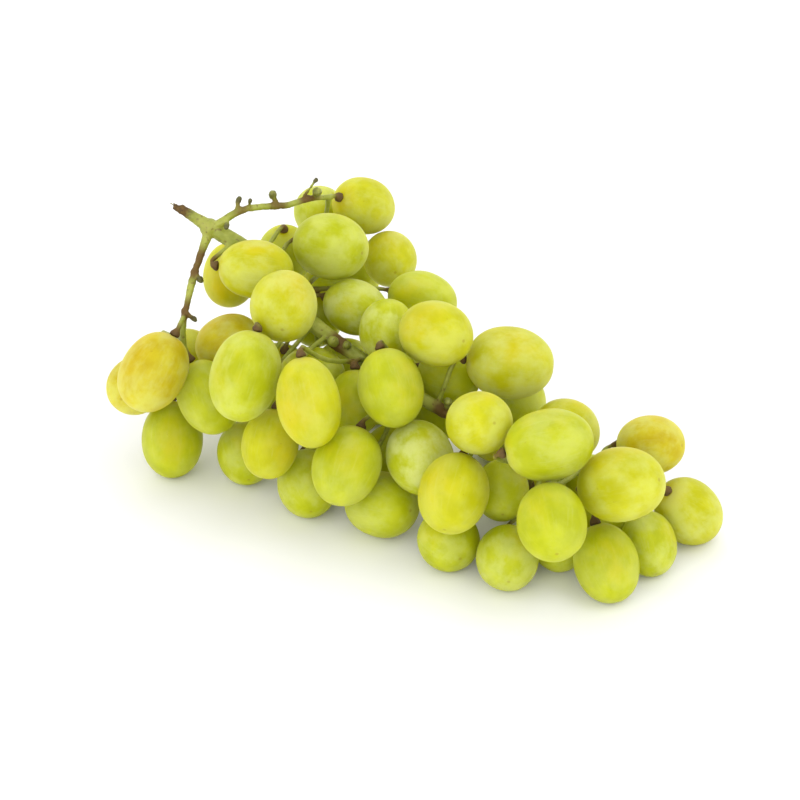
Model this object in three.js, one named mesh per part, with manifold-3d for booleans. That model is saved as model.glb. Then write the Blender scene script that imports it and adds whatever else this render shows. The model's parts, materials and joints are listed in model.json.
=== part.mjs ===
// A bunch of white table grapes, cut from the vine and lying on its side.
// Each grape is a solid of its own. The stem with all its branches grew as one piece and is one solid.
// Millimetres. +X runs from the cut end of the stem to the tip of the bunch, +Z is up,
// and the origin is on the surface that the bunch lies on, under the middle of its outline.

import * as THREE from 'three';
import { mergeVertices } from 'three/addons/utils/BufferGeometryUtils.js';
import Module from 'manifold-3d';

const wasm = await Module();
wasm.setup();

// ---- driving dimensions ----

const SKIN_GAP = 0.5;          // clear space between neighbouring grapes
const REST_FLAT = 0.25;        // depth of the flat that a resting grape presses on its underside
const GRAPE_SIDES = 12;        // facets round a grape
const GRAPE_RINGS = 8;         // facets from its stem end to its tip

const RACHIS_KEEP_OUT = 2.4;   // grapes stay this far from the main stem's axis
const BRANCH_KEEP_OUT = 1.2;   // and this far from a branch's axis
const BRANCH_SIDES = 7;
const BRANCH_STEP = 5;         // length of one facet of a branch

const STALK_LENGTH = 3.5;      // straight end of the pedicel that carries a grape
const STALK_KEEP_OUT = 1.1;
const PEDICEL_RADIUS = 0.75;
const PEDICEL_SIDES = 6;
const PEDICEL_STEP = 4;
const SHARED_GROWTH = 0.33;    // a pedicel that feeds n grapes is n to this power thicker
const CAP_RADIUS = 1.7;        // the flared cap that a grape sits on
const CAP_BRIM = 0.6;          // thickness of its brim
const CAP_HEIGHT = 2;          // height at which it has narrowed to the pedicel
const CAP_GAP = 0.3;           // between the cap and the skin
const TRIM_GAP = 0.25;         // clear space cut round a grape where a pedicel squeezes past it

const KNOB_NECK = 2.4;         // a stub starts to swell this many knob radii from its end
const KNOB_OUTLINE = [         // then: distance from the end and radius, both in knob radii
  [1.5, 1],
  [0.5, 0.9],
  [0, 0.4],
];

const CELL = 1.5;              // spacing of the grid on which the pedicels find their way
const EASY_WIDTH = 2.6;        // a pedicel runs freely where the skins are this far away
const CROWDING = 0.8;          // how strongly it avoids narrower places
const TIGHTEST = 0.3;          // and how narrow a place it can still take
const DETOUR = 4;              // cost of each millimetre between a stalk's end and its first cell
const WING_ENTRY = 16;         // a pedicel joins a wing, not the main stem, where that saves this much

// ---- colours ----

const TONES = {
  green: { color: '#b3c048', roughness: 0.45 },
  yellow: { color: '#cdcf4e', roughness: 0.42 },
  amber: { color: '#d3bd4a', roughness: 0.42 },
};
const STEM_TONE = { color: '#8f9a4a', roughness: 0.7 };

// ---- the grapes ----
// at: centre, with RESTING in place of the height of a grape that lies on the surface.
// size: length from stem end to tip, and width. tip: heading and rise of the tip in degrees,
// where heading 0 is +X and 90 is +Y.

const RESTING = null;

const CLUSTERS = {
  crown: [
    { at: [-49, 39.5, 63.3], size: [22, 18], tip: [70, -31], tone: 'yellow' },
    { at: [-68, 42, 57.5], size: [21, 17], tip: [128, -8], tone: 'green' },
    { at: [-45, 12, 62.6], size: [25, 20.5], tip: [-7, 6], tone: 'green' },
    { at: [-40, 37, 52], size: [20, 17], tip: [-50, 0], tone: 'yellow' },
    { at: [-67, 19, 52.5], size: [20, 17], tip: [120, -74], tone: 'green' },
    { at: [-78, 4, 49], size: [21, 17], tip: [-120, -80], tone: 'yellow' },
    { at: [-58, -10, 62], size: [23, 18], tip: [27, -4], tone: 'yellow' },
    { at: [-57, 36, 38], size: [25, 19], tip: [30, -8], tone: 'green' },
  ],
  wing: [
    { at: [-71, -48, 41], size: [25, 19.5], tip: [-109, -49], tone: 'amber' },
    { at: [-84.3, -39, 28], size: [21.5, 17.5], tip: [-80, 4], tone: 'amber' },
    { at: [-74, -37, RESTING], size: [24, 19], tip: [-60, -60], tone: 'green' },
    { at: [-61, -35, 29], size: [23.5, 18.5], tip: [-17, -52], tone: 'green' },
    { at: [-81, -14, 26.2], size: [22, 18], tip: [42, -50], tone: 'yellow' },
    { at: [-65, -17, 38], size: [21, 17.5], tip: [-131, -12], tone: 'amber' },
    { at: [-52, -29, RESTING], size: [21.5, 17.5], tip: [-52, -20], tone: 'green' },
    { at: [-56, -4, 21.5], size: [25, 20], tip: [158, -70], tone: 'green' },
  ],
  shoulder: [
    { at: [-40, -25, 61], size: [23.5, 20], tip: [-60, -9], tone: 'yellow' },
    { at: [-33, 6, 49], size: [21, 17], tip: [-3, -2], tone: 'green' },
    { at: [-18, 21, 48.2], size: [23.5, 17.5], tip: [-10, 5], tone: 'green' },
    { at: [-39, -46, 48], size: [27, 20.5], tip: [-88, -57], tone: 'green' },
    { at: [-36, -15, 34], size: [21, 17], tip: [6, 13], tone: 'green' },
    { at: [-51, 11, 38], size: [20.5, 17], tip: [120, -74], tone: 'green' },
    { at: [-38, 7, 26], size: [20.5, 17], tip: [89, -9], tone: 'green' },
    { at: [-34, -42, 24], size: [21, 17], tip: [-79, -59], tone: 'yellow' },
    { at: [-26, -35, RESTING], size: [22, 18], tip: [-52, -19], tone: 'green' },
    { at: [-16, -4, 50], size: [21, 17], tip: [120, 22], tone: 'green' },
    { at: [-16, -48, 46], size: [26.5, 18.5], tip: [-41, -59], tone: 'yellow' },
    { at: [-18, -20, 32], size: [20, 16.5], tip: [-60, -60], tone: 'green' },
    { at: [-34, 20, RESTING], size: [23, 18.5], tip: [103, -34], tone: 'green' },
    { at: [-30, -12, RESTING], size: [22, 18], tip: [-151, -56], tone: 'green' },
    { at: [-16, 24, 23], size: [23, 18.5], tip: [82, -9], tone: 'green' },
  ],
  middle: [
    { at: [5, -13, 58], size: [25, 19], tip: [-20, 12], tone: 'yellow' },
    { at: [0, -29, 46], size: [23.5, 19], tip: [-39, -46], tone: 'green' },
    { at: [4, -1, 38], size: [20.5, 16.5], tip: [-12, 4], tone: 'green' },
    { at: [-3, 4, 22], size: [21, 17], tip: [-60, -22], tone: 'green' },
    { at: [-6, -44, 26], size: [24, 20], tip: [-86, -41], tone: 'green' },
    { at: [10, -31, 27], size: [23.5, 19.5], tip: [-45, -14], tone: 'green' },
    { at: [0, -35, RESTING], size: [24, 19.5], tip: [-13, 14], tone: 'green' },
    { at: [-12, -11, RESTING], size: [22, 18], tip: [-162, -59], tone: 'green' },
    { at: [10, 20, RESTING], size: [23, 18.5], tip: [100, -19], tone: 'yellow' },
    { at: [23, 0, 47], size: [26, 21.5], tip: [27, -4], tone: 'yellow' },
    { at: [21, 10, 30], size: [20.5, 17], tip: [31, -63], tone: 'green' },
    { at: [31, -33, 46], size: [22, 18], tip: [-36, 28], tone: 'yellow' },
  ],
  lower: [
    { at: [29, -44, 28], size: [24, 20], tip: [-75, -29], tone: 'yellow' },
    { at: [26.5, -40, RESTING], size: [19, 18], tip: [-40, -5], tone: 'green' },
    { at: [35, -25, 19.5], size: [19.5, 16], tip: [-60, -13], tone: 'green' },
    { at: [35, -5, RESTING], size: [23, 19], tip: [109, -36], tone: 'green' },
    { at: [53, -33, 45.2], size: [25, 20], tip: [35, 9], tone: 'green' },
    { at: [42.4, 0.6, 29.7], size: [22.5, 18.5], tip: [72, -35], tone: 'yellow' },
    { at: [61, -46, 30], size: [23.5, 19.5], tip: [-56, -15], tone: 'green' },
    { at: [44.4, -38, RESTING], size: [20, 18], tip: [-60, -10], tone: 'green' },
    { at: [53.5, -26.5, RESTING], size: [18, 15.5], tip: [-60, 7], tone: 'green' },
  ],
  tail: [
    { at: [72, -25, 34], size: [26, 21], tip: [-4, 26], tone: 'yellow' },
    { at: [66.8, 7, 28.6], size: [20.5, 17.5], tip: [0, 16], tone: 'amber' },
    { at: [80, 4.5, RESTING], size: [23.5, 18.5], tip: [56, -49], tone: 'yellow' },
    { at: [70, -30, RESTING], size: [23, 18.5], tip: [-39, -46], tone: 'green' },
    { at: [75.5, -10.5, RESTING], size: [19.5, 16], tip: [-49, -32], tone: 'green' },
    { at: [60, -6, RESTING], size: [20, 16.5], tip: [-92, -24], tone: 'green' },
    { at: [48, 9, RESTING], size: [20, 16.5], tip: [110, -22], tone: 'green' },
  ],
};

// ---- the stem ----
// Each branch is a smooth curve through its points, with its radius at evenly spaced places along it.

const RACHIS = {
  through: [
    [-86, -10, 76], [-78, -6, 70], [-70, -3, 65], [-63, 1, 58], [-58, 1, 51], [-48, -2, 46], [-37, -6, 44],
    [-31, -7, 42], [-20, -8, 39], [-8, -10, 36], [6, -12, 33], [20, -12, 30], [36, -12, 26], [52, -10, 24],
    [64, -8, 21],
  ],
  radii: [1.3, 2.6, 2.9, 2.6, 2.5, 2.2, 2.0, 2.0, 1.8, 1.6, 1.4, 1.1],
  keepOut: RACHIS_KEEP_OUT,
  entry: 0,
};
const UPPER_WING = {
  through: [
    [-78, -6, 69], [-74, -5, 72], [-69, -2, 76], [-65, 3, 76], [-62, 8, 75], [-60, 13, 74], [-58, 19, 74],
    [-54, 25, 73],
  ],
  radii: [1.8, 1.2, 1.1, 1.0, 1.1, 0.9, 0.9, 0.8],
  keepOut: BRANCH_KEEP_OUT,
  entry: WING_ENTRY,
};
const FRONT_WING = {
  through: [
    [-78, -6, 69], [-77.5, -11, 64], [-76, -17.6, 60], [-74, -23.6, 56], [-72.5, -28.8, 51], [-72, -31, 46],
    [-71, -32, 42],
  ],
  radii: [1.8, 1.2, 1.0, 1.2, 0.9, 1.0, 0.9],
  keepOut: BRANCH_KEEP_OUT,
  entry: WING_ENTRY,
};
const BRANCHES = [RACHIS, UPPER_WING, FRONT_WING];

// Short stubs and bare knobs where a grape or a tendril has come away.
const STUBS = [
  { through: [[-70, -3, 75], [-70, -1, 79]], radius: 0.6, knob: 1.0 },
  { through: [[-67, 0, 76], [-66, -1, 79.5]], radius: 0.5, knob: 0.8 },
  { through: [[-62, 8, 75], [-63, 7, 79]], radius: 0.8, knob: 1.3 },
  { through: [[-72, -4, 74], [-71, -7, 72]], radius: 0.6, knob: 0.9 },
  { through: [[-59, 17, 74], [-57, 18, 77.5], [-56, 21, 80]], radius: 0.45, knob: 0.7 },
  { through: [[-57, 21, 74], [-55, 20, 76.5]], radius: 0.8, knob: 1.5 },
  { through: [[-76, -17.6, 60], [-72.5, -19.6, 59]], radius: 0.7, knob: 1.0 },
  { through: [[-73, -28, 52], [-69.5, -28, 50]], radius: 0.6, knob: 0.9 },
  { through: [[-31, -7, 42], [-31, -11, 45]], radius: 1.1, knob: 1.7 },
  { through: [[-28, -7, 42], [-26, -11, 45]], radius: 0.9, knob: 1.4 },
  { through: [[9, -12, 33], [11, -15, 38]], radius: 0.8, knob: 1.4 },
  { through: [[16, -12, 31], [18, -16, 35]], radius: 0.8, knob: 1.3 },
];

// ---- helpers ----

const vector = (xyz) => new THREE.Vector3(...xyz);
const radians = THREE.MathUtils.degToRad;

function manifoldOf(geometry) {
  const bare = geometry.clone();
  bare.deleteAttribute('normal');
  bare.deleteAttribute('uv');
  const merged = mergeVertices(bare, 1e-4);
  return new wasm.Manifold(new wasm.Mesh({
    numProp: 3,
    vertProperties: new Float32Array(merged.attributes.position.array),
    triVerts: new Uint32Array(merged.index.array),
  }));
}

function geometryOf(manifold) {
  const { vertProperties, triVerts, numProp } = manifold.getMesh();
  const geometry = new THREE.BufferGeometry();
  const positions = new Float32Array((vertProperties.length / numProp) * 3);
  for (let i = 0; i < positions.length; i++) {
    positions[i] = vertProperties[Math.floor(i / 3) * numProp + (i % 3)];
  }
  geometry.setAttribute('position', new THREE.BufferAttribute(positions, 3));
  geometry.setIndex(new THREE.BufferAttribute(new Uint32Array(triVerts), 1));
  return geometry;
}

// The value of a list of evenly spaced values at t, from 0 to 1 along it.
function along(values, t) {
  const place = t * (values.length - 1);
  const before = Math.min(Math.floor(place), values.length - 2);
  return THREE.MathUtils.lerp(values[before], values[before + 1], place - before);
}

// ---- grapes as ellipsoids ----

function makeGrape(name, { at, size: [length, width], tip: [heading, rise], tone }) {
  const axis = new THREE.Vector3(
    Math.cos(radians(heading)) * Math.cos(radians(rise)),
    Math.sin(radians(heading)) * Math.cos(radians(rise)),
    Math.sin(radians(rise)),
  );
  const grape = { name, tone, axis, long: length / 2, wide: width / 2, centre: vector(at) };
  grape.resting = at[2] === RESTING;
  grape.spread = spreadOf(axis, grape.long, grape.wide);
  grape.narrow = spreadOf(axis, 1 / grape.long, 1 / grape.wide);
  grape.halfHeight = Math.sqrt(grape.spread.elements[8]);
  return grape;
}

// The symmetric matrix with eigenvalue long² along the axis and wide² across it.
function spreadOf(axis, long, wide) {
  const stretch = long * long - wide * wide;
  const { x, y, z } = axis;
  return new THREE.Matrix3().set(
    wide * wide + stretch * x * x, stretch * x * y, stretch * x * z,
    stretch * x * y, wide * wide + stretch * y * y, stretch * y * z,
    stretch * x * z, stretch * y * z, wide * wide + stretch * z * z,
  );
}

function quadratic(matrix, v) {
  return v.dot(v.clone().applyMatrix3(matrix));
}

// How far a grape's skin is from its centre along a unit direction.
function reach(grape, direction) {
  return 1 / Math.sqrt(quadratic(grape.narrow, direction));
}

const SHARE_STEP = 0.05;

// Perram and Wertheim's contact function: the square of the scale at which two ellipsoids just touch.
function contact(a, b, offset) {
  const mixed = new THREE.Matrix3();
  let best = 0;
  for (let share = SHARE_STEP; share < 1; share += SHARE_STEP) {
    for (let i = 0; i < 9; i++) {
      mixed.elements[i] = (1 - share) * a.spread.elements[i] + share * b.spread.elements[i];
    }
    best = Math.max(best, share * (1 - share) * quadratic(mixed.invert(), offset));
  }
  return best;
}

// The first approximation to the distance from a point to a grape's skin, negative inside it.
function skinDistance(grape, point) {
  const offset = point.clone().sub(grape.centre);
  const towards = offset.clone().applyMatrix3(grape.narrow);
  const scale = Math.sqrt(offset.dot(towards));
  return (scale - 1) * scale / towards.length();
}

function stalkOf(grape) {
  const pole = grape.centre.clone().addScaledVector(grape.axis, -grape.long);
  return new THREE.Line3(pole, pole.clone().addScaledVector(grape.axis, -STALK_LENGTH));
}

// ---- settling ----
// Neighbours are nudged apart until every pair of skins, and every skin and stalk, has its gap.

const SETTLING_ROUNDS = 160;
const PAIR_RATE = 0.3;         // share of an overlap by which each grape of a pair moves in a round
const BRANCH_RATE = 0.5;
const STALK_RATE = 0.25;
const LONGEST_NUDGE = 1;

// The way a grape has to move to clear a line, or null where it is clear.
function pushOff(grape, line, keepOut) {
  const nearest = line.closestPointToPoint(grape.centre, true, new THREE.Vector3());
  const away = grape.centre.clone().sub(nearest);
  const distance = away.length();
  if (distance > grape.long + keepOut + SKIN_GAP) return null;
  away.divideScalar(distance);
  const overlap = reach(grape, away) + keepOut + SKIN_GAP - distance;
  return overlap > 0 ? away.multiplyScalar(overlap) : null;
}

function settle(grapes, branchLines) {
  for (let round = 0; round < SETTLING_ROUNDS; round++) {
    const nudges = grapes.map(() => new THREE.Vector3());
    grapes.forEach((a, i) => {
      for (let j = i + 1; j < grapes.length; j++) {
        const b = grapes[j];
        const offset = b.centre.clone().sub(a.centre);
        const distance = offset.length();
        if (distance > a.long + b.long + SKIN_GAP) continue;
        const overlap = distance / Math.sqrt(contact(a, b, offset)) + SKIN_GAP - distance;
        if (overlap <= 0) continue;
        nudges[i].addScaledVector(offset, (-overlap * PAIR_RATE) / distance);
        nudges[j].addScaledVector(offset, (overlap * PAIR_RATE) / distance);
      }
      for (const { line, keepOut } of branchLines) {
        const push = pushOff(a, line, keepOut);
        if (push) nudges[i].addScaledVector(push, BRANCH_RATE);
      }
      grapes.forEach((b, j) => {
        const push = i === j ? null : pushOff(a, stalkOf(b), STALK_KEEP_OUT);
        if (!push) return;
        nudges[i].addScaledVector(push, STALK_RATE);
        nudges[j].addScaledVector(push, -STALK_RATE);
      });
    });
    grapes.forEach((grape, i) => {
      grape.centre.add(nudges[i].clampLength(0, LONGEST_NUDGE));
      const lying = grape.halfHeight - REST_FLAT;
      grape.centre.z = grape.resting ? lying : Math.max(grape.centre.z, grape.halfHeight);
    });
  }
}

// ---- the free space between the grapes, on a grid ----

class FreeSpace {
  constructor(grapes) {
    const box = new THREE.Box3();
    for (const grape of grapes) {
      box.expandByPoint(grape.centre.clone().addScalar(grape.long + EASY_WIDTH));
      box.expandByPoint(grape.centre.clone().addScalar(-grape.long - EASY_WIDTH));
    }
    box.min.z = PEDICEL_RADIUS;
    const branchTop = Math.max(...BRANCHES.flatMap(({ through }) => through.map(([, , z]) => z)));
    box.max.z = Math.max(box.max.z, branchTop + EASY_WIDTH);
    this.corner = box.min;
    this.counts = box.getSize(new THREE.Vector3()).divideScalar(CELL).ceil().addScalar(1);
    this.room = new Float32Array(this.counts.x * this.counts.y * this.counts.z).fill(EASY_WIDTH);
    grapes.forEach((grape) => this.fill(grape));
  }

  index(x, y, z) {
    return x + this.counts.x * (y + this.counts.y * z);
  }

  cellAt(point) {
    const place = point.clone().sub(this.corner).divideScalar(CELL).round();
    place.clamp(new THREE.Vector3(), this.counts.clone().subScalar(1));
    return this.index(place.x, place.y, place.z);
  }

  coordinates(cell) {
    const x = cell % this.counts.x;
    const y = Math.floor(cell / this.counts.x) % this.counts.y;
    return new THREE.Vector3(x, y, Math.floor(cell / (this.counts.x * this.counts.y)));
  }

  pointOf(cell) {
    return this.coordinates(cell).multiplyScalar(CELL).add(this.corner);
  }

  // Lowers the room of the cells in and around a grape to their distance from its skin.
  fill(grape) {
    const span = Math.ceil((grape.long + EASY_WIDTH) / CELL);
    const middle = this.coordinates(this.cellAt(grape.centre));
    for (let x = Math.max(0, middle.x - span); x <= Math.min(this.counts.x - 1, middle.x + span); x++) {
      for (let y = Math.max(0, middle.y - span); y <= Math.min(this.counts.y - 1, middle.y + span); y++) {
        for (let z = Math.max(0, middle.z - span); z <= Math.min(this.counts.z - 1, middle.z + span); z++) {
          const cell = this.index(x, y, z);
          this.room[cell] = Math.min(this.room[cell], skinDistance(grape, this.pointOf(cell)));
        }
      }
    }
  }

  neighbours(cell) {
    const { x, y, z } = this.coordinates(cell);
    const found = [];
    for (let dx = -1; dx <= 1; dx++) {
      for (let dy = -1; dy <= 1; dy++) {
        for (let dz = -1; dz <= 1; dz++) {
          const inside = x + dx >= 0 && x + dx < this.counts.x && y + dy >= 0 && y + dy < this.counts.y
            && z + dz >= 0 && z + dz < this.counts.z;
          if (!inside || (dx === 0 && dy === 0 && dz === 0)) continue;
          found.push([this.index(x + dx, y + dy, z + dz), Math.hypot(dx, dy, dz) * CELL]);
        }
      }
    }
    return found;
  }

  // What a millimetre of pedicel costs in a cell: more where the skins are close.
  toll(cell) {
    const tightness = Math.max(0, EASY_WIDTH - this.room[cell]);
    return 1 + CROWDING * tightness * tightness;
  }

  // The cheapest way from every free cell back to the branches, as the next cell towards them.
  waysBack(roots) {
    const buckets = [];
    const cost = new Float32Array(this.room.length).fill(Infinity);
    const next = new Int32Array(this.room.length).fill(-1);
    for (const [cell, { entry }] of roots) {
      cost[cell] = entry;
      (buckets[entry] ??= []).push(cell);
    }
    for (let level = 0; level < buckets.length; level++) {
      for (const cell of buckets[level] ?? []) {
        if (Math.round(cost[cell]) < level) continue;
        for (const [other, step] of this.neighbours(cell)) {
          if (this.room[other] < TIGHTEST || roots.has(other)) continue;
          const total = cost[cell] + step * this.toll(other);
          if (total >= cost[other] - 1e-6) continue;
          cost[other] = total;
          next[other] = cell;
          (buckets[Math.round(total)] ??= []).push(other);
        }
      }
    }
    return { cost, next };
  }
}

// ---- pedicels ----

const SMOOTHING_ROUNDS = 60;
const SMOOTHING_RATE = 0.4;
const CLEARING_RATE = 0.8;

// Walks from every grape's stalk along the cheapest way to a branch. Ways that meet run on together.
function growPedicels(grapes, branchLines) {
  const space = new FreeSpace(grapes);
  const roots = new Map();
  for (const { line, entry } of branchLines) {
    const steps = Math.ceil(line.distance());
    for (let i = 0; i <= steps; i++) {
      const point = line.at(i / steps, new THREE.Vector3());
      roots.set(space.cellAt(point), { point, entry });
    }
  }
  const { cost, next } = space.waysBack(roots);
  const joints = new Map();
  const jointAt = (cell) => {
    if (!joints.has(cell)) {
      const root = roots.get(cell);
      joints.set(cell, { point: root?.point ?? space.pointOf(cell), fixed: Boolean(root), feeds: 0 });
    }
    return joints.get(cell);
  };
  const ways = grapes.map((grape) => {
    const stalk = stalkOf(grape);
    const way = [{ point: stalk.end, fixed: true, feeds: 0 }];
    const first = nearestOpenCell(space, cost, stalk.end);
    for (let cell = first; cell >= 0; cell = next[cell]) way.push(jointAt(cell));
    way.forEach((joint, i) => {
      joint.feeds += 1;
      joint.towards = way[i + 1] ?? joint.towards;
    });
    return { grape, stalk, way };
  });
  smoothWays(ways, grapes);
  return ways;
}

function nearestOpenCell(space, cost, point) {
  const first = space.cellAt(point);
  const candidates = [first, ...space.neighbours(first).map(([cell]) => cell)];
  for (const [cell] of space.neighbours(first)) {
    candidates.push(...space.neighbours(cell).map(([further]) => further));
  }
  const score = (cell) => cost[cell] + DETOUR * space.pointOf(cell).distanceTo(point);
  return candidates.reduce((best, cell) => (score(cell) < score(best) ? cell : best));
}

// Each joint is drawn towards the mean of its neighbours and kept clear of every skin.
function smoothWays(ways, grapes) {
  const joints = [...new Set(ways.flatMap(({ way }) => way))];
  const linked = new Map(joints.map((joint) => [joint, []]));
  for (const joint of joints) {
    if (!joint.towards) continue;
    linked.get(joint).push(joint.towards);
    linked.get(joint.towards).push(joint);
  }
  for (let round = 0; round < SMOOTHING_ROUNDS; round++) {
    for (const joint of joints) {
      if (joint.fixed) continue;
      const mean = linked.get(joint).reduce((sum, other) => sum.add(other.point), new THREE.Vector3());
      joint.point.lerp(mean.divideScalar(linked.get(joint).length), SMOOTHING_RATE);
      const clear = radiusFor(joint.feeds) + CAP_GAP;
      for (const grape of grapes) {
        const short = clear - skinDistance(grape, joint.point);
        if (short <= 0) continue;
        const outward = joint.point.clone().sub(grape.centre).applyMatrix3(grape.narrow).normalize();
        joint.point.addScaledVector(outward, short * CLEARING_RATE);
      }
      joint.point.z = Math.max(joint.point.z, clear);
    }
  }
}

function radiusFor(feeds) {
  return PEDICEL_RADIUS * feeds ** SHARED_GROWTH;
}

// ---- solids ----

// A path whose rings are set at chosen places, from 0 to 1 along it, instead of evenly.
class PacedPath extends THREE.Curve {
  constructor(path, places) {
    super();
    this.path = path;
    this.places = places;
  }

  getPoint(t, target) {
    return this.path.getPointAt(along(this.places, t), target);
  }

  getPointAt(t, target) {
    return this.getPoint(t, target);
  }

  getTangentAt(t, target) {
    return this.path.getTangentAt(along(this.places, t), target);
  }
}

// A tube with one ring at each place along a path, and a radius for each ring. A thin wire is extruded along
// the path, and each of its vertices is then moved out from the middle of its ring.
const WIRE_RADIUS = 0.02;

function sweptSolid(path, places, radii, sides) {
  const section = new THREE.Shape(Array.from({ length: sides }, (_, i) => {
    const turn = (2 * Math.PI * i) / sides;
    return new THREE.Vector2(WIRE_RADIUS * Math.cos(turn), WIRE_RADIUS * Math.sin(turn));
  }));
  const paced = new PacedPath(path, places);
  const steps = places.length - 1;
  const geometry = new THREE.ExtrudeGeometry(section, { steps, extrudePath: paced, bevelEnabled: false });
  const middles = paced.getSpacedPoints(steps);
  const position = geometry.attributes.position;
  const vertex = new THREE.Vector3();
  for (let i = 0; i < position.count; i++) {
    vertex.fromBufferAttribute(position, i);
    const distances = middles.map((middle) => middle.distanceToSquared(vertex));
    const ring = distances.indexOf(Math.min(...distances));
    vertex.sub(middles[ring]).setLength(radii[ring]).add(middles[ring]);
    position.setXYZ(i, vertex.x, vertex.y, vertex.z);
  }
  return manifoldOf(geometry);
}

// Evenly spaced places from one place to another, both included, no further apart than a step.
function evenly(from, to, step) {
  const count = Math.max(1, Math.round((to - from) / step));
  return Array.from({ length: count + 1 }, (_, i) => THREE.MathUtils.lerp(from, to, i / count));
}

function smoothPath(points) {
  return new THREE.CatmullRomCurve3(points, false, 'centripetal');
}

function branchSolid({ through, radii }) {
  const path = smoothPath(through.map(vector));
  const places = evenly(0, 1, BRANCH_STEP / path.getLength());
  return sweptSolid(path, places, places.map((place) => along(radii, place)), BRANCH_SIDES);
}

function branchLinesOf({ through, keepOut, entry }) {
  const path = smoothPath(through.map(vector));
  const points = path.getSpacedPoints(Math.round(path.getLength() / BRANCH_STEP));
  return points.slice(1).map((point, i) => ({ line: new THREE.Line3(points[i], point), keepOut, entry }));
}

// A stub keeps its radius up to its knob, which swells out and is rounded off.
function stubSolid({ through, radius, knob }) {
  const path = smoothPath(through.map(vector));
  const length = path.getLength() + knob;
  const end = through.length - 1;
  const beyond = vector(through[end]).sub(vector(through[end - 1])).setLength(knob).add(vector(through[end]));
  const whole = smoothPath([...through.map(vector), beyond]);
  const placeAt = (back) => 1 - (back * knob) / length;
  const places = [0, placeAt(KNOB_NECK), ...KNOB_OUTLINE.map(([back]) => placeAt(back))];
  const radii = [radius, radius, ...KNOB_OUTLINE.map(([, width]) => width * knob)];
  return sweptSolid(whole, places, radii, PEDICEL_SIDES);
}

// One tube for each way, from its cap to the branch or to the first joint that a longer way has already used.
// It starts as the flared cap that the grape sits on.
function pedicelSolids(ways) {
  const built = new Set();
  return [...ways].sort((a, b) => b.way.length - a.way.length).map(({ grape, stalk, way }) => {
    const end = way.findIndex((joint) => built.has(joint));
    const run = end < 0 ? way : way.slice(0, end + 1);
    run.forEach((joint) => built.add(joint));
    const kept = run.filter((joint, i) => (
      i % 2 === 0 || i === run.length - 1 || joint.feeds !== run[i - 1].feeds));
    const foot = stalk.start.clone().addScaledVector(grape.axis, -CAP_GAP);
    const path = smoothPath([foot, ...kept.map((joint) => joint.point)]);
    const thickness = [PEDICEL_RADIUS, ...kept.map((joint) => radiusFor(joint.feeds))];
    const length = path.getLength();
    const [brim, neck] = [CAP_BRIM / length, CAP_HEIGHT / length];
    const places = [0, brim, ...evenly(neck, 1, PEDICEL_STEP / length)];
    const radii = places.map((place) => (place < neck ? CAP_RADIUS : along(thickness, place)));
    return sweptSolid(path, places, radii, PEDICEL_SIDES);
  });
}

function ellipsoidGeometry(long, wide, sides, rings) {
  const profile = Array.from({ length: rings + 1 }, (_, i) => {
    const angle = (Math.PI * i) / rings;
    const onAxis = i === 0 || i === rings;
    return new THREE.Vector2(onAxis ? 0 : wide * Math.sin(angle), -long * Math.cos(angle));
  });
  return new THREE.LatheGeometry(profile, sides);
}

function placeGrape(object, grape) {
  object.position.copy(grape.centre);
  object.quaternion.setFromUnitVectors(new THREE.Vector3(0, 1, 0), grape.axis);
  object.updateMatrix();
}

const SURFACE_BLOCK = 80;

function grapeMesh(grape) {
  const mesh = new THREE.Mesh(
    ellipsoidGeometry(grape.long, grape.wide, GRAPE_SIDES, GRAPE_RINGS),
    new THREE.MeshStandardMaterial({ ...TONES[grape.tone], metalness: 0 }),
  );
  mesh.name = grape.name;
  placeGrape(mesh, grape);
  if (grape.resting) {
    const surface = new THREE.BoxGeometry(SURFACE_BLOCK, SURFACE_BLOCK, SURFACE_BLOCK);
    surface.translate(grape.centre.x, grape.centre.y, -SURFACE_BLOCK / 2);
    surface.applyMatrix4(mesh.matrix.clone().invert());
    mesh.geometry = geometryOf(manifoldOf(mesh.geometry).subtract(manifoldOf(surface)));
  }
  return mesh;
}

function grapeKeepOut(grape) {
  const inflated = new THREE.Object3D();
  placeGrape(inflated, grape);
  const geometry = ellipsoidGeometry(grape.long + TRIM_GAP, grape.wide + TRIM_GAP, GRAPE_SIDES, GRAPE_RINGS);
  return manifoldOf(geometry.applyMatrix4(inflated.matrix));
}

function stemMesh(grapes, branchLines) {
  const ways = growPedicels(grapes, branchLines);
  const pieces = [...BRANCHES.map(branchSolid), ...pedicelSolids(ways), ...STUBS.map(stubSolid)];
  const whole = pieces.reduce((sum, piece) => sum.add(piece));
  const trimmed = grapes.reduce((stem, grape) => stem.subtract(grapeKeepOut(grape)), whole);
  const largest = trimmed.decompose().reduce((a, b) => (b.volume() > a.volume() ? b : a));
  const tone = new THREE.MeshStandardMaterial({ ...STEM_TONE, metalness: 0 });
  const mesh = new THREE.Mesh(geometryOf(largest), tone);
  mesh.name = 'stem';
  return mesh;
}

// ---- the bunch ----

const grapes = Object.entries(CLUSTERS).flatMap(([cluster, members]) => (
  members.map((member, i) => makeGrape(`grape_${cluster}_${i + 1}`, member))));
const branchLines = BRANCHES.flatMap(branchLinesOf);
settle(grapes, branchLines);

const bunch = new THREE.Group();
bunch.add(stemMesh(grapes, branchLines), ...grapes.map(grapeMesh));

const outline = new THREE.Box3().setFromObject(bunch, true);
const middle = outline.getCenter(new THREE.Vector3());
bunch.position.set(-middle.x, -middle.y, -outline.min.z);

const group = new THREE.Group();
group.add(bunch);

export default group;
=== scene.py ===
"""A bunch of white table grapes lying on a pale surface, in soft studio light.

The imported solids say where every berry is, how big it is and which way it points, and how the stem runs.
Each berry is grown again as a full, smooth fruit with its own dimple, blossom scar and skin, and the stem
is grown again as one rounded, knobbly piece of wood with caps, forks and a torn end. Lengths are metres.
"""

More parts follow.
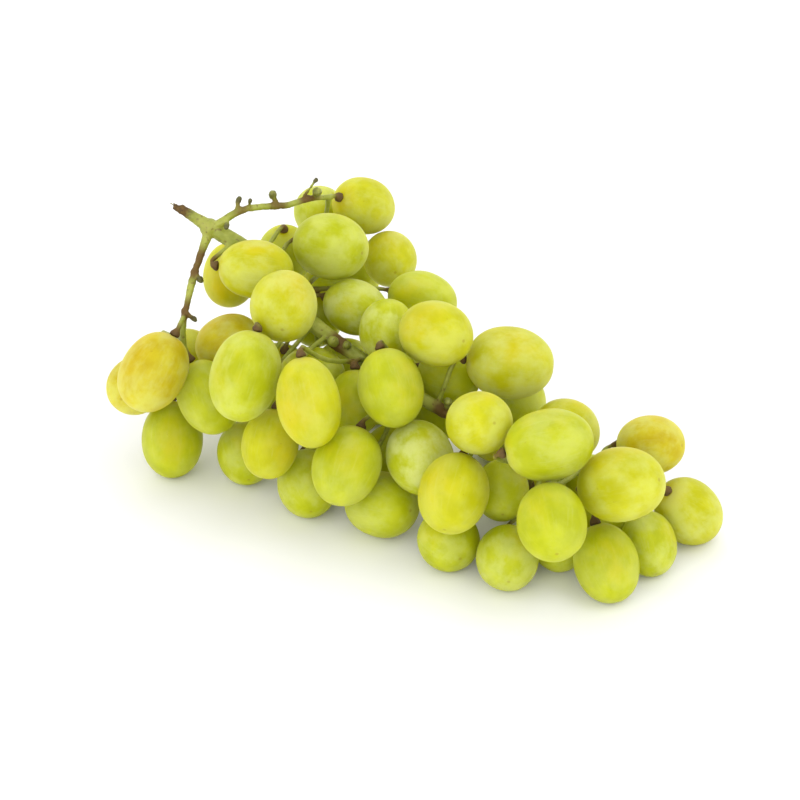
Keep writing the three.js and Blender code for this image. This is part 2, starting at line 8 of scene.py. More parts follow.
import enum
import json
import logging
import math
import random
from dataclasses import dataclass, field

import bmesh
import bpy
import numpy as np
from mathutils import Matrix, Vector, kdtree, noise


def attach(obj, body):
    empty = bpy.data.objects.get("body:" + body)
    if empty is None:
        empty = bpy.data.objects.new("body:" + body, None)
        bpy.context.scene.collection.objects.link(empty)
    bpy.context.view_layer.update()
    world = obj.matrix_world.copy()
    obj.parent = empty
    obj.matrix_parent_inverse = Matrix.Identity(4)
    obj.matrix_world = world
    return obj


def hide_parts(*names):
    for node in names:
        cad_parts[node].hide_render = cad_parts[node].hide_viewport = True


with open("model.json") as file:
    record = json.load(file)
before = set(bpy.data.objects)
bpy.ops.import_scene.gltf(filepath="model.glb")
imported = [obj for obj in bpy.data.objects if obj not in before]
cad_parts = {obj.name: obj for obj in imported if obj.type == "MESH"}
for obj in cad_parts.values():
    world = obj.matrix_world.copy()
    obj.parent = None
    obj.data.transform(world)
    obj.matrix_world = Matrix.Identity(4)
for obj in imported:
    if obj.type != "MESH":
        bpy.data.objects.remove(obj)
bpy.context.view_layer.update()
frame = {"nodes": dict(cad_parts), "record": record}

LOG = logging.getLogger("grapes")
MM = 0.001
ROOT = "root"
STEM = "stem"

Colour = tuple[float, float, float]


def srgb(code: str) -> Colour:
    """Turns a screen colour into the linear one that shaders use.

    Args:
        code: Six hexadecimal digits, such as "c8d24a".

    Returns:
        Red, green and blue, from 0 to 1.
    """
    parts = [int(code[i : i + 2], 16) / 255 for i in (0, 2, 4)]
    red, green, blue = (p / 12.92 if p <= 0.04045 else ((p + 0.055) / 1.055) ** 2.4 for p in parts)
    return red, green, blue


# ---- shader graphs ----


@dataclass(frozen=True)
class Signal:
    """One output socket of a material's graph. Arithmetic on it adds Math nodes."""

    graph: "Graph"
    socket: bpy.types.NodeSocket | None

    def math(self, operation: str, *operands: "Signal | float") -> "Signal":
        """Adds a Math node.

        Args:
            operation: The node's operation.
            operands: The values or signals of its sockets, in order.

        Returns:
            The node's result.
        """
        return self.graph.add("ShaderNodeMath", {"operation": operation}, dict(enumerate(operands)))

    def __add__(self, other: "Signal | float") -> "Signal":
        """Adds."""
        return self.math("ADD", self, other)

    def __radd__(self, other: float) -> "Signal":
        """Adds to a number."""
        return self.math("ADD", other, self)

    def __sub__(self, other: "Signal | float") -> "Signal":
        """Subtracts."""
        return self.math("SUBTRACT", self, other)

    def __rsub__(self, other: float) -> "Signal":
        """Subtracts from a number."""
        return self.math("SUBTRACT", other, self)

    def __mul__(self, other: "Signal | float") -> "Signal":
        """Multiplies."""
        return self.math("MULTIPLY", self, other)

    def __rmul__(self, other: float) -> "Signal":
        """Multiplies a number."""
        return self.math("MULTIPLY", other, self)

    def rise(self, low: float, high: float) -> "Signal":
        """Rises smoothly from 0 to 1.

        Args:
            low: The value at which the result is still 0.
            high: The value from which it is 1. It may be lower than low, for a fall.

        Returns:
            The smooth step.
        """
        sockets = {"Value": self, "From Min": low, "From Max": high}
        return self.graph.add("ShaderNodeMapRange", {"interpolation_type": "SMOOTHSTEP"}, sockets)


class Graph:
    """The node graph of one material, which ends in a Principled BSDF."""

    def __init__(self, name: str) -> None:
        """Starts a material.

        Args:
            name: The material's name.
        """
        self.material = bpy.data.materials.new(name)
        self.material.use_nodes = True
        self.tree = self.material.node_tree
        self.tree.nodes.clear()

    def add(
        self,
        kind: str,
        settings: dict[str, object] | None = None,
        sockets: dict[int | str, object] | None = None,
        output: int | str = 0,
    ) -> Signal:
        """Adds any node.

        Args:
            kind: The node's type.
            settings: Its properties, which are set first.
            sockets: A value or a signal for each input that differs from its default.
            output: The output that is wanted.

        Returns:
            That output.
        """
        node = self.tree.nodes.new(kind)
        for key, value in (settings or {}).items():
            setattr(node, key, value)
        for key, value in (sockets or {}).items():
            if isinstance(value, Signal):
                self.tree.links.new(value.socket, node.inputs[key])
            else:
                node.inputs[key].default_value = value
        return Signal(self, node.outputs[output] if node.outputs else None)

    def attribute(self, name: str) -> Signal:
        """Reads a vector attribute of the piece."""
        return self.add("ShaderNodeAttribute", {"attribute_name": name}, output="Vector")

    def split(self, vector: Signal) -> tuple[Signal, Signal, Signal]:
        """Splits a vector.

        Args:
            vector: The vector.

        Returns:
            Its X, Y and Z.
        """
        first = self.add("ShaderNodeSeparateXYZ", sockets={0: vector})
        outputs = first.socket.node.outputs
        return first, Signal(self, outputs[1]), Signal(self, outputs[2])

    def vector(self, x: Signal | float, y: Signal | float, z: Signal | float) -> Signal:
        """Joins three values into a vector."""
        return self.add("ShaderNodeCombineXYZ", sockets={0: x, 1: y, 2: z})

    def noise(self, at: Signal, scale: float, detail: float = 2.0, roughness: float = 0.5) -> Signal:
        """Adds a noise texture.

        Args:
            at: Where it is read.
            scale: Its frequency.
            detail: The number of finer octaves.
            roughness: How strong those are.

        Returns:
            Values around 0.5.
        """
        sockets = {"Vector": at, "Scale": scale, "Detail": detail, "Roughness": roughness}
        return self.add("ShaderNodeTexNoise", sockets=sockets)

    def mix(self, share: Signal | float, a: Signal | Colour, b: Signal | Colour) -> Signal:
        """Mixes two colours.

        Args:
            share: How much of the second.
            a: The first colour.
            b: The second.

        Returns:
            The mixed colour.
        """
        sockets = {0: share, 6: self.paint(a), 7: self.paint(b)}
        return self.add("ShaderNodeMix", {"data_type": "RGBA"}, sockets, output=2)

    def bump(self, height: Signal, strength: float, depth: float) -> Signal:
        """Turns a height pattern into a relief for the Normal socket.

        Args:
            height: The pattern.
            strength: How strongly it shows.
            depth: The relief's depth in metres.

        Returns:
            The bumped normal.
        """
        return self.add("ShaderNodeBump", sockets={"Strength": strength, "Distance": depth, "Height": height})

    @staticmethod
    def paint(colour: Signal | Colour) -> Signal | tuple[float, ...]:
        """Gives a plain colour its alpha, and leaves a signal alone."""
        return colour if isinstance(colour, Signal) else (*colour, 1.0)

    def finish(self, sockets: dict[int | str, object]) -> bpy.types.Material:
        """Ends the graph.

        Args:
            sockets: The Principled BSDF's inputs.

        Returns:
            The material.
        """
        shader = self.add("ShaderNodeBsdfPrincipled", {"subsurface_method": "RANDOM_WALK"}, sockets)
        self.add("ShaderNodeOutputMaterial", sockets={"Surface": shader})
        return self.material


# ---- finishes ----


class Tone(enum.Enum):
    """The ripeness that a berry's material slot stands for."""

    GREEN = "grape_green"
    YELLOW = "grape_yellow"
    AMBER = "grape_amber"


BERRY_PLACE = "berry_place"    # where a point is on its berry: a unit sphere, -Z at the stem
BERRY_TRAITS = "berry_traits"  # per berry: ripeness, bloom and a number that shifts its patterns
STEM_TRAITS = "stem_traits"    # per point: how brown, how close to a knob, how close to the torn end


@dataclass(frozen=True)
class GrapeSkin:
    """A berry's skin and the flesh under it. Patterns are scaled to a berry of radius 1."""

    name: str
    pale: Colour
    deep: Colour
    flush: Colour
    flush_reach: float
    bloom: Colour = srgb("c3c982")
    scar: Colour = srgb("7a5a20")
    scatter: Colour = (1.0, 0.95, 0.06)
    scatter_depth: float = 22.0 * MM
    refraction: float = 1.38
    roughness: float = 0.4
    gloss: float = 0.26
    vein_scale: float = 9.0
    vein_stretch: float = 0.16
    pale_veins: float = 0.13
    deep_veins: float = 0.12
    mottle_scale: float = 1.7
    patch_scale: float = 1.25
    dust_scale: float = 26.0
    freckle_scale: float = 11.0
    freckling: float = 0.2
    least_flush: float = 0.35
    ripe_flush: float = 0.6
    foot_flush: float = 0.45
    dusting: float = 0.4
    bloom_roughness: float = 0.45
    mottle_roughness: float = 0.06
    tip_scar: float = 0.35
    foot_scar: float = 0.6
    pore_scale: float = 60.0
    relief: float = 0.12
    relief_depth: float = 0.1 * MM

    def material(self) -> bpy.types.Material:
        """Builds the material.

        Returns:
            A translucent skin with veins, mottling, bloom, a flush on one side and a scar at each end.
        """
        g = Graph(self.name)
        place = g.attribute(BERRY_PLACE)
        x, y, z = g.split(place)
        ripeness, bloom_share, shift = g.split(g.attribute(BERRY_TRAITS))
        shifts = g.vector(shift, shift, shift)
        shifted = g.add("ShaderNodeVectorMath", {"operation": "ADD"}, {0: place, 1: shifts})
        heading = g.add("ShaderNodeVectorMath", {"operation": "NORMALIZE"}, {0: g.vector(x, y, 0.0)})
        hx, hy, _ = g.split(heading)
        girth = 1 - z * z
        veins = g.noise(g.vector(hx + shift, hy, z * self.vein_stretch), self.vein_scale, 3.0, 0.6)
        mottle = g.noise(shifted, self.mottle_scale, 3.0, 0.55)
        patches = g.noise(shifted, self.patch_scale, 4.0, 0.6)
        dust = g.noise(shifted, self.dust_scale, 2.0, 0.6)
        freckles = g.noise(shifted, self.freckle_scale, 1.0, 0.4)

        colour = g.mix(mottle.rise(0.3, 0.72), self.deep, self.pale)
        colour = g.mix(veins.rise(0.52, 0.72) * girth * self.pale_veins, colour, self.bloom)
        colour = g.mix(veins.rise(0.46, 0.3) * girth * self.deep_veins, colour, self.deep)
        side = (x + mottle * 0.9 - 0.45).rise(1.0 - self.flush_reach, 1.3)
        colour = g.mix(side * (self.least_flush + ripeness * self.ripe_flush), colour, self.flush)
        colour = g.mix(z.rise(-0.72, -1.0) * self.foot_flush, colour, self.flush)
        colour = g.mix(freckles.rise(0.72, 0.8) * self.freckling, colour, self.scar)
        film = patches.rise(0.36, 0.66) * bloom_share * (1 - self.dusting / 2 + dust * self.dusting)
        colour = g.mix(film, colour, self.bloom)
        colour = g.mix(z.rise(0.997, 0.999) * self.tip_scar, colour, self.scar)
        colour = g.mix(z.rise(-0.985, -0.996) * self.foot_scar, colour, self.scar)

        pores = g.noise(shifted, self.pore_scale, 2.0, 0.5)
        return g.finish({
            "Base Color": colour,
            "Roughness": self.roughness + film * self.bloom_roughness + mottle * self.mottle_roughness,
            "Normal": g.bump(pores + veins, self.relief, self.relief_depth),
            "Subsurface Weight": 1.0,
            "Subsurface Radius": self.scatter,
            "Subsurface Scale": self.scatter_depth,
            "IOR": self.refraction,
            "Specular IOR Level": self.gloss,
        })


@dataclass(frozen=True)
class StemBark:
    """The green stem, which dries to brown at its knobs, forks and torn end. Pattern scales are per metre."""

    name: str = "stem_bark"
    green: Colour = srgb("8a9228")
    pale: Colour = srgb("a6aa48")
    brown: Colour = srgb("5e3a12")
    dark: Colour = srgb("2a1a0a")
    scatter_share: float = 0.15
    scatter: Colour = (1.0, 0.9, 0.3)
    scatter_depth: float = 1.2 * MM
    roughness: float = 0.5
    dry_roughness: float = 0.25
    streak_scale: float = 190.0
    grain_scale: float = 1300.0
    speck_scale: float = 850.0
    speckling: float = 0.55
    browning: float = 0.9
    darkening: float = 0.8
    fraying: float = 0.6
    relief: float = 0.5
    relief_depth: float = 0.25 * MM

    def material(self) -> bpy.types.Material:
        """Builds the material.

        Returns:
            A green bark with pale patches, brown specks and forks, and dark knobs.
        """
        g = Graph(self.name)
        place = g.add("ShaderNodeTexCoord", output="Object")
        brown, knob, torn = g.split(g.attribute(STEM_TRAITS))
        streaks = g.noise(place, self.streak_scale, 3.0, 0.6)
        grain = g.noise(place, self.grain_scale, 3.0, 0.6)
        specks = g.noise(place, self.speck_scale, 1.0, 0.4)

        colour = g.mix(streaks.rise(0.35, 0.7), self.green, self.pale)
        colour = g.mix(specks.rise(0.62, 0.75) * self.speckling, colour, self.brown)
        rust = (brown + streaks * 0.7 - 0.35).rise(0.2, 0.75)
        colour = g.mix(rust * self.browning, colour, self.brown)
        dry = (knob + grain * 0.5 - 0.25).rise(0.35, 0.9)
        colour = g.mix(dry * self.darkening, colour, self.dark)
        colour = g.mix(torn * grain.rise(0.4, 0.6) * self.fraying, colour, self.dark)

        return g.finish({
            "Base Color": colour,
            "Roughness": self.roughness + rust * self.dry_roughness,
            "Normal": g.bump(grain + streaks, self.relief, self.relief_depth),
            "Subsurface Weight": self.scatter_share,
            "Subsurface Radius": self.scatter,
            "Subsurface Scale": self.scatter_depth,
        })


SKINS = {
    Tone.GREEN: GrapeSkin("green_skin", srgb("adb31c"), srgb("9ca305"), srgb("b1a910"), 0.35),
    Tone.YELLOW: GrapeSkin("yellow_skin", srgb("b6b61a"), srgb("a8a806"), srgb("baa80e"), 0.5),
    Tone.AMBER: GrapeSkin("amber_skin", srgb("bbb022"), srgb("ac9c0e"), srgb("ba9616"), 0.85),
}


# ---- berries ----


@dataclass(frozen=True)
class BerryForm:
    """Where a packed berry is, how big it is and which way its tip points."""

    centre: Vector
    axis: Vector
    half_length: float
    half_width: float

    @property
    def foot(self) -> Vector:
        """The pole that the berry hangs by."""
        return self.centre - self.axis * self.half_length


@dataclass(frozen=True)
class BerryGauge:
    """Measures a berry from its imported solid, whose corners lie on an ellipsoid apart from a flat below."""

    flat_height: float = 0.05 * MM
    cap_reach: float = 2.3 * MM

    def measure(self, node: bpy.types.Object, stem_points: kdtree.KDTree) -> BerryForm:
        """Fits the ellipsoid that the solid's corners lie on.

        Args:
            node: The berry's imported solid.
            stem_points: The corners of the stem, which show the end that the berry hangs by.

        Returns:
            The berry's form.
        """
        corners = np.array([v.co for v in node.data.vertices])
        middle = (corners.min(0) + corners.max(0)) / 2
        unit = np.ptp(corners, axis=0).max() / 2
        curved = (corners[corners[:, 2] > self.flat_height] - middle) / unit
        x, y, z = curved.T
        terms = np.stack([x * x, y * y, z * z, 2 * x * y, 2 * x * z, 2 * y * z, 2 * x, 2 * y, 2 * z], axis=1)
        q = np.linalg.lstsq(terms, np.ones(len(curved)), rcond=None)[0]
        form = np.array([[q[0], q[3], q[4]], [q[3], q[1], q[5]], [q[4], q[5], q[2]]])
        shift = -np.linalg.solve(form, q[6:])
        values, directions = np.linalg.eigh(form / (1 + shift @ form @ shift))
        long, *wide = unit / np.sqrt(values)
        centre = Vector(middle + unit * shift)
        axis = Vector(directions[:, 0])
        near = [len(stem_points.find_range(centre + axis * side * long, self.cap_reach)) for side in (-1, 1)]
        return BerryForm(centre, axis if near[0] >= near[1] else -axis, float(long), float(np.mean(wide)))


@dataclass(frozen=True)
class Character:
    """How one berry differs from the others of its tone."""

    ripeness: float
    bloom: float


@dataclass
class Berry:
    """One berry: a full oval with a dimple under its cap, a scar at its tip and a flat where it rests."""

    name: str
    form: BerryForm
    tone: Tone
    character: Character
    dice: random.Random
    sides: int = 60
    rings: int = 40
    fullness: tuple[float, float] = (2.02, 2.13)
    taper: float = 0.014
    dimple_depth: float = 0.3 * MM
    dimple_width: float = 1.7 * MM
    scar_depth: float = 0.18 * MM
    scar_width: float = 0.7 * MM
    unevenness: float = 0.16 * MM
    lump_scale: float = 1.3
    lump_room: float = 50.0
    pattern_room: float = 40.0
    side_turn: float = 1.1
    all_but_upright: float = 0.2

    def build(self) -> bpy.types.Object:
        """Grows the berry in place.

        Returns:
            The finished piece.
        """
        bm = bmesh.new()
        bmesh.ops.create_uvsphere(bm, u_segments=self.sides, v_segments=self.rings, radius=1.0)
        places = [v.co.copy() for v in bm.verts]
        fullness = self.dice.uniform(*self.fullness)
        taper = self.dice.uniform(-self.taper, self.taper)
        shift = Vector([self.dice.uniform(0, self.lump_room) for _ in range(3)])
        for vertex, place in zip(bm.verts, places):
            vertex.co = self.grown(place, fullness, taper, shift)
        bmesh.ops.transform(bm, matrix=self.pose(), verts=bm.verts)
        for vertex in bm.verts:
            vertex.co.z = max(vertex.co.z, 0.0)
        for face in bm.faces:
            face.smooth = True
        mesh = bpy.data.meshes.new(self.name)
        bm.to_mesh(mesh)
        bm.free()
        self.mark(mesh, BERRY_PLACE, places)
        pattern_shift = self.dice.uniform(0, self.pattern_room)
        traits = Vector((self.character.ripeness, self.character.bloom, pattern_shift))
        self.mark(mesh, BERRY_TRAITS, [traits] * len(places))
        return bpy.data.objects.new(self.name, mesh)

    def grown(self, place: Vector, fullness: float, taper: float, shift: Vector) -> Vector:
        """Shapes one point of the berry.

        Args:
            place: The point on a unit sphere, with -Z at the stem.
            fullness: Exponent of the outline; 2 is an ellipse, and more is fuller.
            taper: How much narrower the berry is at its tip.
            shift: Moves the lumps, so that no two berries share them.

        Returns:
            The point, about the berry's centre and with its tip along +Z.
        """
        girth = math.hypot(place.x, place.y)
        swell = (abs(place.z) ** fullness + girth**fullness) ** (-1 / fullness)
        across = self.form.half_width * swell * (1 - taper * place.z)
        point = Vector((place.x * across, place.y * across, place.z * self.form.half_length * swell))
        point += place * noise.noise(place * self.lump_scale + shift) * self.unevenness
        off_axis = math.hypot(point.x, point.y)
        if place.z < 0:
            point.z += self.dimple_depth * math.exp(-((off_axis / self.dimple_width) ** 2))
        else:
            point.z -= self.scar_depth * math.exp(-((off_axis / self.scar_width) ** 2))
        return point

    def pose(self) -> Matrix:
        """Turns the berry's tip along its axis, with its flushed side up and a little at random."""
        axis = self.form.axis
        side = Vector((0, 0, 1)) - axis * axis.z
        if side.length <= self.all_but_upright:
            side = axis.orthogonal()
        side.normalize()
        side.rotate(Matrix.Rotation(self.dice.uniform(-self.side_turn, self.side_turn), 3, axis))
        turn = Matrix((side, axis.cross(side), axis)).transposed()
        return Matrix.Translation(self.form.centre) @ turn.to_4x4()

    @staticmethod
    def mark(mesh: bpy.types.Mesh, name: str, values: list[Vector]) -> None:
        """Stores a vector at every point of a mesh.

        Args:
            mesh: The mesh.
            name: The attribute's name.
            values: One vector for each point.
        """
        attribute = mesh.attributes.new(name, "FLOAT_VECTOR", "POINT")
        attribute.data.foreach_set("vector", np.array(values, np.float32).ravel())


@dataclass
class Cluster:
    """The berries of one stretch of the bunch."""

    name: str
    forms: dict[str, BerryForm]
    slots: dict[str, str]
    skins: dict[Tone, bpy.types.Material]
    seed: int
    ripeness: tuple[float, float] = (0.2, 0.8)
    bloom: tuple[float, float] = (0.15, 0.45)
    characters: dict[str, Character] = field(default_factory=dict)

    def build(self) -> list[bpy.types.Object]:
        """Grows every berry of the cluster.

        Returns:
            The pieces, dressed and riding on the bunch.
        """
        dice = random.Random(self.seed)
        pieces = []
        for node in sorted(name for name in self.forms if name.startswith(f"grape_{self.name}_")):
            drawn = Character(dice.uniform(*self.ripeness), dice.uniform(*self.bloom))
            tone = Tone(self.slots[node])
            character = self.characters.get(node, drawn)
            piece = Berry(f"{node}_skin", self.forms[node], tone, character, dice).build()
            piece.data.materials.append(self.skins[tone])
            bpy.context.scene.collection.objects.link(piece)
            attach(piece, ROOT)
            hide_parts(node)
            pieces.append(piece)
        return pieces


# ---- the stem ----


@dataclass(frozen=True)
class Knot:
    """A place where the stem swells and browns."""

    at: tuple[float, float, float]
    swelling: float
    browning: float


@dataclass
class Stem:
    """The stem: rachis, wings, stubs and pedicels in one rounded, knobbly piece."""

    source: bpy.types.Object
    forms: list[BerryForm]
    bark: bpy.types.Material
    torn_end: tuple[float, float, float]
    torn_towards: tuple[float, float, float]
    knots: list[Knot]
    knobs: list[tuple[float, float, float]]
    seed: int = 7
    voxel: float = 0.38 * MM
    smoothing: int = 5
    melting: float = 0.5
    fibres: int = 7
    fibre_sides: int = 7
    fibre_length: tuple[float, float] = (1.6 * MM, 4.2 * MM)
    fibre_radius: float = 0.5 * MM
    fibre_point: float = 0.45
    fibre_spread: float = 0.32
    fibre_offset: float = 2.4 * MM
    fibre_root: float = 0.8 * MM
    cap_reach: float = 2.6 * MM
    cap_push: float = 0.35 * MM
    dry_reach: float = 4.5 * MM
    knob_reach: float = 1.9 * MM
    fork_reach: float = 4.5 * MM
    torn_reach: float = 4.5 * MM
    lump_scales: tuple[float, float] = (620.0, 1500.0)
    roughening: float = 0.22 * MM
    plain_share: float = 0.35
    torn_share: float = 1.4
    fork_share: float = 0.8
    dryness: float = 0.9
    fill: float = 0.1 * MM
    lowest: float = 0.1 * MM

    def build(self) -> bpy.types.Object:
        """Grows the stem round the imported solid.

        Returns:
            The finished piece, dressed and riding on the bunch.
        """
        dice = random.Random(self.seed)
        bm = bmesh.new()
        bm.from_mesh(self.source.data)
        bmesh.ops.remove_doubles(bm, verts=bm.verts, dist=0.001 * MM)
        self.add_knots(bm)
        self.add_fibres(bm, dice)
        mesh = bpy.data.meshes.new("stem_bark")
        bm.to_mesh(mesh)
        bm.free()
        piece = bpy.data.objects.new("stem_bark", self.rounded(mesh))
        bpy.context.scene.collection.objects.link(piece)
        self.weather(piece.data)
        piece.data.materials.append(self.bark)
        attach(piece, ROOT)
        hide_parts(STEM)
        return piece

    def add_knots(self, bm: bmesh.types.BMesh) -> None:
        """Adds the swelling at each fork."""
        for knot in self.knots:
            if knot.swelling:
                place = Matrix.Translation(knot.at)
                bmesh.ops.create_icosphere(bm, subdivisions=3, radius=knot.swelling, matrix=place)

    def add_fibres(self, bm: bmesh.types.BMesh, dice: random.Random) -> None:
        """Adds the splinters of the torn end.

        Args:
            bm: The stem's mesh.
            dice: The source of chance.
        """
        towards = Vector(self.torn_towards).normalized()
        for _ in range(self.fibres):
            length = dice.uniform(*self.fibre_length)
            lean = Vector([dice.uniform(-1, 1) for _ in range(3)]) * self.fibre_spread
            direction = (towards + lean).normalized()
            aside = lean - towards * lean.dot(towards)
            root = Vector(self.torn_end) + aside * self.fibre_offset - towards * self.fibre_root
            turn = direction.to_track_quat("Z", "Y").to_matrix().to_4x4()
            place = Matrix.Translation(root + direction * length / 2) @ turn
            bmesh.ops.create_cone(
                bm, cap_ends=True, segments=self.fibre_sides, radius1=self.fibre_radius,
                radius2=self.fibre_radius * self.fibre_point, depth=length, matrix=place,
            )

    def rounded(self, mesh: bpy.types.Mesh) -> bpy.types.Mesh:
        """Melts the facets, forks and fibres into one smooth skin.

        Args:
            mesh: The faceted stem.

        Returns:
            A fine closed mesh.
        """
        rough = bpy.data.objects.new("stem_rough", mesh)
        bpy.context.scene.collection.objects.link(rough)
        remesh = rough.modifiers.new("skin", "REMESH")
        remesh.mode = "VOXEL"
        remesh.voxel_size = self.voxel
        smooth = rough.modifiers.new("round", "SMOOTH")
        smooth.factor = self.melting
        smooth.iterations = self.smoothing
        bpy.context.view_layer.update()
        evaluated = rough.evaluated_get(bpy.context.evaluated_depsgraph_get())
        melted = bpy.data.meshes.new_from_object(evaluated)
        bpy.data.objects.remove(rough)
        bpy.data.meshes.remove(mesh)
        melted.name = "stem_bark"
        return melted

    def weather(self, mesh: bpy.types.Mesh) -> None:
        """Roughens the bark, seats the caps and marks how brown every point is.

        Args:
            mesh: The rounded stem.
        """
        feet = kdtree.KDTree(len(self.forms))
        for i, form in enumerate(self.forms):
            feet.insert(form.foot, i)
        feet.balance()
        coarse, fine = self.lump_scales
        traits = []
        moved = []
        for vertex in mesh.vertices:
            at, out = vertex.co.copy(), vertex.normal.copy()
            _, i, gap = feet.find(at)
            cap = self.nearness(gap, self.cap_reach)
            dried = self.nearness(gap, self.dry_reach)
            bare = max(self.nearness(math.dist(at, knob), self.knob_reach) for knob in self.knobs)
            fork = max(
                knot.browning * self.nearness(math.dist(at, knot.at), self.fork_reach) for knot in self.knots)
            frayed = self.nearness(math.dist(at, self.torn_end), self.torn_reach)
            knobbly = self.plain_share + cap + bare + self.torn_share * frayed + self.fork_share * fork
            lumps = noise.noise(at * coarse) + 0.5 * noise.noise(at * fine)
            at += out * (self.fill + lumps * self.roughening * knobbly)
            at += self.forms[i].axis * self.cap_push * cap
            at.z = max(at.z, self.lowest)
            moved.append(at)
            brown = min(1.0, fork + self.dryness * dried + frayed)
            traits.append(Vector((brown, max(self.dryness * cap, bare), frayed)))
        mesh.vertices.foreach_set("co", np.array(moved, np.float32).ravel())
        mesh.update()
        mesh.polygons.foreach_set("use_smooth", [True] * len(mesh.polygons))
        Berry.mark(mesh, STEM_TRAITS, traits)

    @staticmethod
    def nearness(distance: float, reach: float) -> float:
        """Falls from 1 at a place towards 0 beyond its reach."""
        return math.exp(-((distance / reach) ** 2))


# ---- the studio ----


@dataclass(frozen=True)
class Lamp:
    """A square soft light that looks at the bunch."""

    name: str
    right: float
    away: float
    height: float
    size: float
    power: float


@dataclass(frozen=True)
class Studio:
    """A pale floor, soft lights and the camera."""

    target: tuple[float, float, float] = (1.53 * MM, -20.38 * MM, 40 * MM)
    heading: float = 30.0
    elevation: float = 30.0
    distance: float = 650 * MM
    lens: float = 100.0
    sensor: float = 36.0
    floor_size: float = 12.0
    floor_colour: Colour = (0.93, 0.93, 0.93)
    floor_roughness: float = 0.9
    nearest_seen: float = 10 * MM
    sky: float = 1.15
    lamps: tuple[Lamp, ...] = (
        Lamp("key", 0.55, -0.35, 0.85, 0.55, 1.25),
        Lamp("fill", -0.25, -0.95, 0.4, 0.9, 4.5),
        Lamp("back", -0.3, 0.7, 0.8, 0.6, 0.8),
    )

    def build(self) -> None:
        """Sets up floor, sky, lamps and camera."""
        self.add_floor()
        self.add_sky()
        for lamp in self.lamps:
            self.add_lamp(lamp)
        self.add_camera()

    def back(self) -> Vector:
        """The direction from the bunch to the camera."""
        turn, rise = math.radians(self.heading), math.radians(self.elevation)
        return Vector((math.sin(turn) * math.cos(rise), -math.cos(turn) * math.cos(rise), math.sin(rise)))

    def add_floor(self) -> None:
        """Adds the surface that the bunch lies on."""
        bm = bmesh.new()
        bmesh.ops.create_grid(bm, x_segments=1, y_segments=1, size=self.floor_size / 2)
        mesh = bpy.data.meshes.new("floor")
        bm.to_mesh(mesh)
        bm.free()
        floor = bpy.data.objects.new("floor", mesh)
        bpy.context.scene.collection.objects.link(floor)
        colour = Graph.paint(self.floor_colour)
        paint = Graph("floor_paint").finish({"Base Color": colour, "Roughness": self.floor_roughness})
        mesh.materials.append(paint)

    def add_sky(self) -> None:
        """Adds even white light from all round."""
        world = bpy.data.worlds.new("sky")
        world.use_nodes = True
        background = world.node_tree.nodes["Background"].inputs
        background["Color"].default_value = (1.0, 1.0, 1.0, 1.0)
        background["Strength"].default_value = self.sky
        bpy.context.scene.world = world

    def add_lamp(self, lamp: Lamp) -> None:
        """Hangs one lamp, placed as seen from the camera.

        Args:
            lamp: The lamp.
        """
        turn = math.radians(self.heading)
        right = Vector((math.cos(turn), math.sin(turn), 0))
        away = Vector((-math.sin(turn), math.cos(turn), 0))
        light = bpy.data.lights.new(lamp.name, "AREA")
        light.shape = "SQUARE"
        light.size = lamp.size
        light.energy = lamp.power
        holder = bpy.data.objects.new(lamp.name, light)
        up = Vector((0, 0, 1))
        holder.location = Vector(self.target) + right * lamp.right + away * lamp.away + up * lamp.height
        holder.rotation_mode = "QUATERNION"
        holder.rotation_quaternion = (Vector(self.target) - holder.location).to_track_quat("-Z", "Y")
        bpy.context.scene.collection.objects.link(holder)

    def add_camera(self) -> None:
        """Places the camera, which looks down on the bunch."""
        camera = bpy.data.cameras.new("camera")
        camera.lens = self.lens
        camera.sensor_width = self.sensor
        camera.clip_start = self.nearest_seen
        holder = bpy.data.objects.new("camera", camera)
        holder.location = Vector(self.target) + self.back() * self.distance
        holder.rotation_mode = "QUATERNION"
        holder.rotation_quaternion = (-self.back()).to_track_quat("-Z", "Y")
        bpy.context.scene.collection.objects.link(holder)
        bpy.context.scene.camera = holder
        bpy.context.scene.view_settings.view_transform = "Standard"


# ---- the bunch ----


DRAWING_OFFSET = (1.53, 3.62, 0.0)  # from the origin in which the stem was drawn to the bunch's own


def spot(x: float, y: float, z: float) -> tuple[float, float, float]:
    """A place on the stem, drawn in millimetres, in the bunch's frame."""
    return tuple((place + offset) * MM for place, offset in zip((x, y, z), DRAWING_OFFSET))


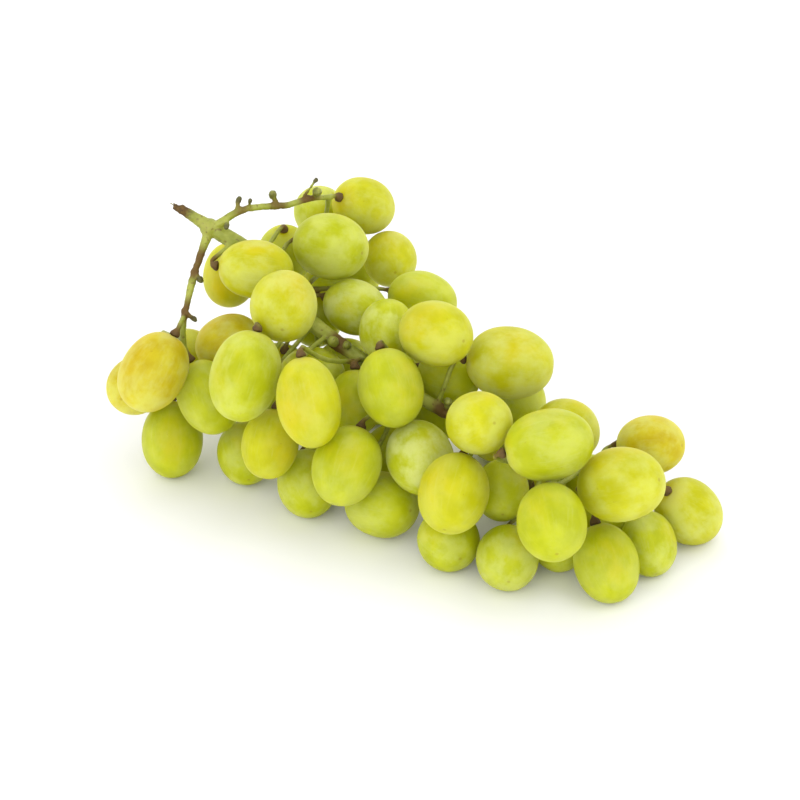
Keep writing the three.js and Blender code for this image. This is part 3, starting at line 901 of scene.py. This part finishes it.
CLUSTERS = ("crown", "wing", "shoulder", "middle", "lower", "tail")
CHARACTERS = {
    "grape_middle_6": Character(0.0, 0.75),
    "grape_shoulder_2": Character(0.05, 0.6),
    "grape_shoulder_10": Character(0.1, 0.6),
    "grape_shoulder_4": Character(0.4, 0.4),
    "grape_lower_7": Character(0.3, 0.15),
}
TORN_END = spot(-86, -10, 76)
TORN_TOWARDS = (-8.0, -3.0, 5.0)
KNOTS = [
    Knot(spot(-78, -6, 69.6), 2.9 * MM, 0.35),
    Knot(spot(-77, -13.5, 62.5), 0.0, 0.8),
    Knot(spot(-76, -17.6, 60), 1.2 * MM, 0.8),
    Knot(spot(-69, -2, 76), 1.2 * MM, 0.6),
    Knot(spot(-62, 8, 75), 1.1 * MM, 0.75),
    Knot(spot(-58, 19, 74), 1.2 * MM, 0.85),
    Knot(spot(-73, -28, 52), 1.1 * MM, 0.85),
    Knot(spot(-31, -7, 42), 2.3 * MM, 1.0),
    Knot(spot(8.6, -12.2, 32.5), 1.9 * MM, 0.9),
]
KNOBS = [
    spot(-70, -1, 79),
    spot(-66, -1, 79.5),
    spot(-63, 7, 79),
    spot(-71, -7, 72),
    spot(-56, 21, 80),
    spot(-55, 20, 76.5),
    spot(-72.5, -19.6, 59),
    spot(-69.5, -28, 50),
    spot(-31, -11, 45),
    spot(-26, -11, 45),
    spot(11, -15, 38),
    spot(18, -16, 35),
]


def stem_corners() -> kdtree.KDTree:
    """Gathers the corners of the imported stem.

    Returns:
        A tree that finds them by place.
    """
    vertices = frame["nodes"][STEM].data.vertices
    tree = kdtree.KDTree(len(vertices))
    for i, vertex in enumerate(vertices):
        tree.insert(vertex.co, i)
    tree.balance()
    return tree


def main() -> None:
    """Builds the studio, the berries and the stem, and reports each piece."""
    logging.basicConfig(level=logging.INFO, format="%(name)s: %(message)s")
    Studio().build()
    slots = {part["node"]: part["material_slot"] for part in frame["record"]["subparts"]}
    corners = stem_corners()
    gauge = BerryGauge()
    forms = {name: gauge.measure(node, corners) for name, node in frame["nodes"].items() if name != STEM}
    skins = {tone: skin.material() for tone, skin in SKINS.items()}
    for seed, name in enumerate(CLUSTERS):
        for piece in Cluster(name, forms, slots, skins, seed, characters=CHARACTERS).build():
            LOG.info("%s: %d faces", piece.name, len(piece.data.polygons))
    source, bark = frame["nodes"][STEM], StemBark().material()
    stem = Stem(source, list(forms.values()), bark, TORN_END, TORN_TOWARDS, KNOTS, KNOBS).build()
    LOG.info("%s: %d faces", stem.name, len(stem.data.polygons))


if __name__ == "__main__":
    main()
